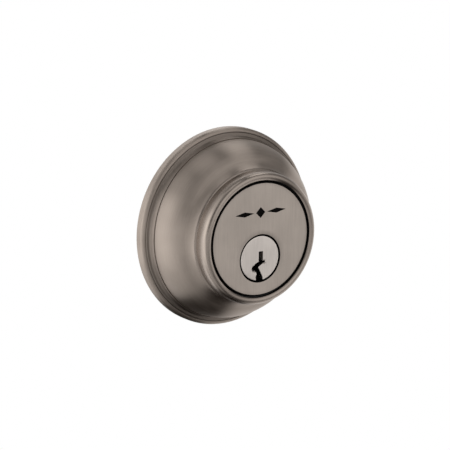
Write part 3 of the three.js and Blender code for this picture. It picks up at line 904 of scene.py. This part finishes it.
KEPT = {
    "tailpiece": steel,
    "spring_cover": brass,
    "drill_pin_left": black_steel,
    "drill_pin_right": black_steel,
    "plug_drill_pin_left": black_steel,
    "plug_drill_pin_right": black_steel,
    "cap_spring": steel,
}
for number in range(1, PINS + 1):
    KEPT[f"key_pin_{number}"] = brass
    KEPT[f"driver_pin_{number}"] = brass
    KEPT[f"pin_spring_{number}"] = steel
EASED = {"tailpiece": 0.2, "spring_cover": 0.2}


def dress(node, material, ease):
    """Gives a CAD node its finish and eases its edges, without touching its mesh."""
    node.data.materials.clear()
    node.data.materials.append(material)
    for polygon in node.data.polygons:
        polygon.use_smooth = True
    if ease:
        bevel = node.modifiers.new("eased_edges", "BEVEL")
        bevel.width = ease * MM
        bevel.segments = 3
        bevel.limit_method = "ANGLE"
        bevel.angle_limit = math.radians(50)
    node.modifiers.new("even_normals", "WEIGHTED_NORMAL").keep_sharp = True


for node_name, material in KEPT.items():
    dress(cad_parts[node_name], material, EASED.get(node_name, 0))


# ------------------------------------------------------------------ studio

CAMERA_AZIMUTH = -34.7
CAMERA_ELEVATION = 14.0
CAMERA_ROLL = 0.467
CAMERA_DISTANCE = 0.949         # metres
CAMERA_LENS = 240.0
CAMERA_SHIFT_RIGHT = 1.489      # millimetres, where the view is centred, from the origin
CAMERA_SHIFT_UP = -0.091


def direction(azimuth, elevation):
    """A unit vector. Azimuth 0 points straight out of the door and 90 to its right, in degrees."""
    a, e = math.radians(azimuth), math.radians(elevation)
    return Vector((math.sin(a) * math.cos(e), -math.cos(a) * math.cos(e), math.sin(e)))


def make_camera():
    """A long lens that looks at the lock from the left and a little above."""
    data = bpy.data.cameras.new("camera")
    data.lens = CAMERA_LENS
    data.sensor_width = 36
    data.clip_start = 0.05
    data.clip_end = 50
    camera = bpy.data.objects.new("camera", data)
    bpy.context.scene.collection.objects.link(camera)
    back = direction(CAMERA_AZIMUTH, CAMERA_ELEVATION)
    level = Vector((0, 0, 1)).cross(back).normalized()
    upward = back.cross(level)
    roll = math.radians(CAMERA_ROLL)
    right = level * math.cos(roll) + upward * math.sin(roll)
    up = upward * math.cos(roll) - level * math.sin(roll)
    place_at = right * CAMERA_SHIFT_RIGHT * MM + up * CAMERA_SHIFT_UP * MM + back * CAMERA_DISTANCE
    axes = Matrix((right, up, back)).transposed().to_4x4()
    camera.matrix_world = Matrix.Translation(place_at) @ axes
    bpy.context.scene.camera = camera


def make_floor():
    """A plain white floor well below the part, which its reflections and shadows leave out."""
    bm = bmesh.new()
    half, height = 6.0, -0.4
    for x, y in ((-half, -half), (half, -half), (half, half), (-half, half)):
        bm.verts.new((x, y, height))
    bm.verts.ensure_lookup_table()
    bm.faces.new(bm.verts)
    floor = new_object("floor", bm)
    material = bpy.data.materials.new("white_floor")
    material.use_nodes = True
    nodes = material.node_tree.nodes
    nodes.remove(nodes["Principled BSDF"])
    glow = nodes.new("ShaderNodeEmission")
    glow.inputs["Color"].default_value = (1, 1, 1, 1)
    material.node_tree.links.new(glow.outputs[0], nodes["Material Output"].inputs["Surface"])
    floor.data.materials.append(material)
    floor.visible_glossy = False
    floor.visible_diffuse = False
    floor.visible_shadow = False


# Soft cards of light in the studio. Each has its azimuth and elevation, how far from its middle it is
# full and where it is gone, all in degrees, and its strength. A fitting program found these values from
# the tones of the photographed metal, and they are rounded here.
CARDS = [
    (-114, -34, 34, 44, 0.82),  # left and low
    (90, -27, 34, 47, 1.40),    # right and low
    (-43, -31, 31, 47, 0.89),   # in front, low
    (-108, -4, 14, 48, 1.59),   # left, level
    (-25, 78, 70, 94, 0.25),    # overhead, very wide and dim
    (-103, 82, 7, 19, 1.32),    # overhead, small
    (18, 15, 5, 49, 1.22),      # in front, a little to the right
    (-157, -38, 16, 24, 1.18),  # behind, low
    (172, 12, 8, 39, 3.36),     # behind, the brightest
    (109, 58, 5, 18, 2.24),     # right and high
    (-114, 32, 16, 43, 1.05),   # left and high
    (148, 2, 26, 58, 0.67),     # behind, to the right
]
ROOM = (0.02, 0.015, 0.012)     # colour of the dim, warm room round the cards


def card_glow(tree, towards, azimuth, elevation, full, gone, strength):
    """How brightly one card shines from the direction that a ray looks towards."""
    dot = tree.nodes.new("ShaderNodeVectorMath")
    dot.operation = "DOT_PRODUCT"
    tree.links.new(towards, dot.inputs[0])
    dot.inputs[1].default_value = direction(azimuth, elevation)
    fade = tree.nodes.new("ShaderNodeMapRange")
    fade.interpolation_type = "SMOOTHSTEP"
    tree.links.new(dot.outputs["Value"], fade.inputs["Value"])
    fade.inputs["From Min"].default_value = math.cos(math.radians(gone))
    fade.inputs["From Max"].default_value = math.cos(math.radians(full))
    fade.inputs["To Min"].default_value = 0.0
    fade.inputs["To Max"].default_value = strength
    return fade.outputs[0]


def all_cards_glow(tree):
    """The glow of every card, added up."""
    towards = tree.nodes.new("ShaderNodeTexCoord").outputs["Generated"]
    glows = [card_glow(tree, towards, *card) for card in CARDS]
    total = glows[0]
    for glow in glows[1:]:
        add = tree.nodes.new("ShaderNodeMath")
        add.operation = "ADD"
        tree.links.new(total, add.inputs[0])
        tree.links.new(glow, add.inputs[1])
        total = add.outputs[0]
    return total


def make_world():
    """White to the camera. To the part, a dim room with soft cards of light."""
    world = bpy.data.worlds.new("studio")
    bpy.context.scene.world = world
    world.use_nodes = True
    tree = world.node_tree
    tree.nodes.clear()
    cards = tree.nodes.new("ShaderNodeBackground")
    tree.links.new(all_cards_glow(tree), cards.inputs["Strength"])
    room = tree.nodes.new("ShaderNodeBackground")
    room.inputs["Color"].default_value = ROOM + (1,)
    studio = tree.nodes.new("ShaderNodeAddShader")
    tree.links.new(cards.outputs[0], studio.inputs[0])
    tree.links.new(room.outputs[0], studio.inputs[1])
    white = tree.nodes.new("ShaderNodeBackground")
    white.inputs["Color"].default_value = (1, 1, 1, 1)
    ray = tree.nodes.new("ShaderNodeLightPath")
    choose = tree.nodes.new("ShaderNodeMixShader")
    tree.links.new(ray.outputs["Is Camera Ray"], choose.inputs[0])
    tree.links.new(studio.outputs[0], choose.inputs[1])
    tree.links.new(white.outputs[0], choose.inputs[2])
    output = tree.nodes.new("ShaderNodeOutputWorld")
    tree.links.new(choose.outputs[0], output.inputs["Surface"])


make_camera()
make_floor()
make_world()

settings = bpy.context.scene.view_settings
settings.view_transform = "Standard"
settings.look = "None"
